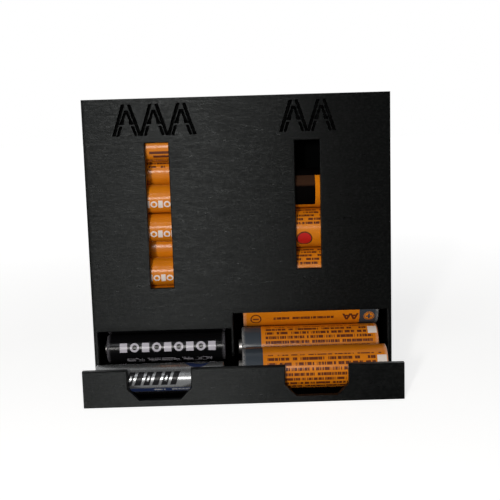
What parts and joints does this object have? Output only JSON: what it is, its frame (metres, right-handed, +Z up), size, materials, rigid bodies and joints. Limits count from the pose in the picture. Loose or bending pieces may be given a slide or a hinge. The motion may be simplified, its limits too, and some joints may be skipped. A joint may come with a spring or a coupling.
{
  "type": "battery dispenser",
  "caption": "Two-lane gravity battery dispenser: open-topped case with level windows, mouths over a notched pick-up tray, and loose cells.",
  "frame": {"origin": "on the table, under the middle of the case's box", "axes": "+X to the right seen from the front, +Y to the back, +Z up"},
  "size_m": [0.1076, 0.048, 0.1022],
  "materials": {
    "printed_plastic": "matte charcoal printed plastic with fine level layer lines",
    "orange_cell": "satin orange film with a slate-grey band at the positive end, bare nickel-plated ends",
    "silver_cell": "glossy silver film with a dark blue stripe, bare nickel-plated ends",
    "black_cell": "glossy black film, bare nickel-plated ends"
  },
  "bodies": {
    "case": {"base_tray": "printed_plastic", "back_shell": "printed_plastic", "front_panel": "printed_plastic", "divider": "printed_plastic", "aaa_ramp": "printed_plastic", "aa_ramp": "printed_plastic"},
    "aaa_cell_1": {"aaa_cell_1": "silver_cell"},
    "aaa_cell_2": {"aaa_cell_2": "black_cell"},
    "aaa_cell_3": {"aaa_cell_3": "black_cell"},
    "aaa_cell_4": {"aaa_cell_4": "orange_cell"},
    "aaa_cell_5": {"aaa_cell_5": "orange_cell"},
    "aaa_cell_6": {"aaa_cell_6": "orange_cell"},
    "aaa_cell_7": {"aaa_cell_7": "orange_cell"},
    "aaa_cell_8": {"aaa_cell_8": "orange_cell"},
    "aaa_cell_9": {"aaa_cell_9": "orange_cell"},
    "aaa_cell_10": {"aaa_cell_10": "orange_cell"},
    "aa_cell_1": {"aa_cell_1": "orange_cell"},
    "aa_cell_2": {"aa_cell_2": "orange_cell"},
    "aa_cell_3": {"aa_cell_3": "orange_cell"},
    "aa_cell_4": {"aa_cell_4": "orange_cell"},
    "aa_cell_5": {"aa_cell_5": "orange_cell"},
    "aa_cell_6": {"aa_cell_6": "orange_cell"}
  },
  "joints": [
    {"name": "aaa_cell_1_lift", "type": "slide", "parent": "case", "child": "aaa_cell_1", "axis": [0, 0, 1], "range_m": [0, 0.02]},
    {"name": "aaa_cell_2_roll", "type": "slide", "parent": "case", "child": "aaa_cell_2", "axis": [0, -0.9511, -0.309], "range_m": [0, 0.01213]},
    {"name": "aaa_cell_3_sink", "type": "slide", "parent": "case", "child": "aaa_cell_3", "axis": [0, 0, -1], "range_m": [0, 0.00839]},
    {"name": "aaa_cell_4_lift", "type": "slide", "parent": "aaa_cell_3", "child": "aaa_cell_4", "axis": [0, 0, 1], "range_m": [0, 0.081]},
    {"name": "aaa_cell_5_lift", "type": "slide", "parent": "aaa_cell_4", "child": "aaa_cell_5", "axis": [0, 0, 1], "range_m": [0, 0.07]},
    {"name": "aaa_cell_6_lift", "type": "slide", "parent": "aaa_cell_5", "child": "aaa_cell_6", "axis": [0, 0, 1], "range_m": [0, 0.062]},
    {"name": "aaa_cell_7_lift", "type": "slide", "parent": "aaa_cell_6", "child": "aaa_cell_7", "axis": [0, 0, 1], "range_m": [0, 0.054]},
    {"name": "aaa_cell_8_lift", "type": "slide", "parent": "aaa_cell_7", "child": "aaa_cell_8", "axis": [0, 0, 1], "range_m": [0, 0.044]},
    {"name": "aaa_cell_9_lift", "type": "slide", "parent": "aaa_cell_8", "child": "aaa_cell_9", "axis": [0, 0, 1], "range_m": [0, 0.035]},
    {"name": "aaa_cell_10_lift", "type": "slide", "parent": "aaa_cell_9", "child": "aaa_cell_10", "axis": [0, 0, 1], "range_m": [0, 0.025]},
    {"name": "aa_cell_1_lift", "type": "slide", "parent": "case", "child": "aa_cell_1", "axis": [0, 0, 1], "range_m": [0, 0.02]},
    {"name": "aa_cell_2_roll", "type": "slide", "parent": "case", "child": "aa_cell_2", "axis": [0, -0.9511, -0.309], "range_m": [0, 0.00688]},
    {"name": "aa_cell_3_sink", "type": "slide", "parent": "case", "child": "aa_cell_3", "axis": [0, 0, -1], "range_m": [0, 0.00442]},
    {"name": "aa_cell_4_lift", "type": "slide", "parent": "aa_cell_3", "child": "aa_cell_4", "axis": [0, 0, 1], "range_m": [0, 0.073]},
    {"name": "aa_cell_5_lift", "type": "slide", "parent": "aa_cell_4", "child": "aa_cell_5", "axis": [0, 0, 1], "range_m": [0, 0.058]},
    {"name": "aa_cell_6_lift", "type": "slide", "parent": "aa_cell_5", "child": "aa_cell_6", "axis": [0, 0, 1], "range_m": [0, 0.044]}
  ],
  "couplings": [
    {"joint": "aaa_cell_3_sink", "follows": "aaa_cell_2_roll", "ratio": 0.69},
    {"joint": "aa_cell_3_sink", "follows": "aa_cell_2_roll", "ratio": 0.64}
  ]
}
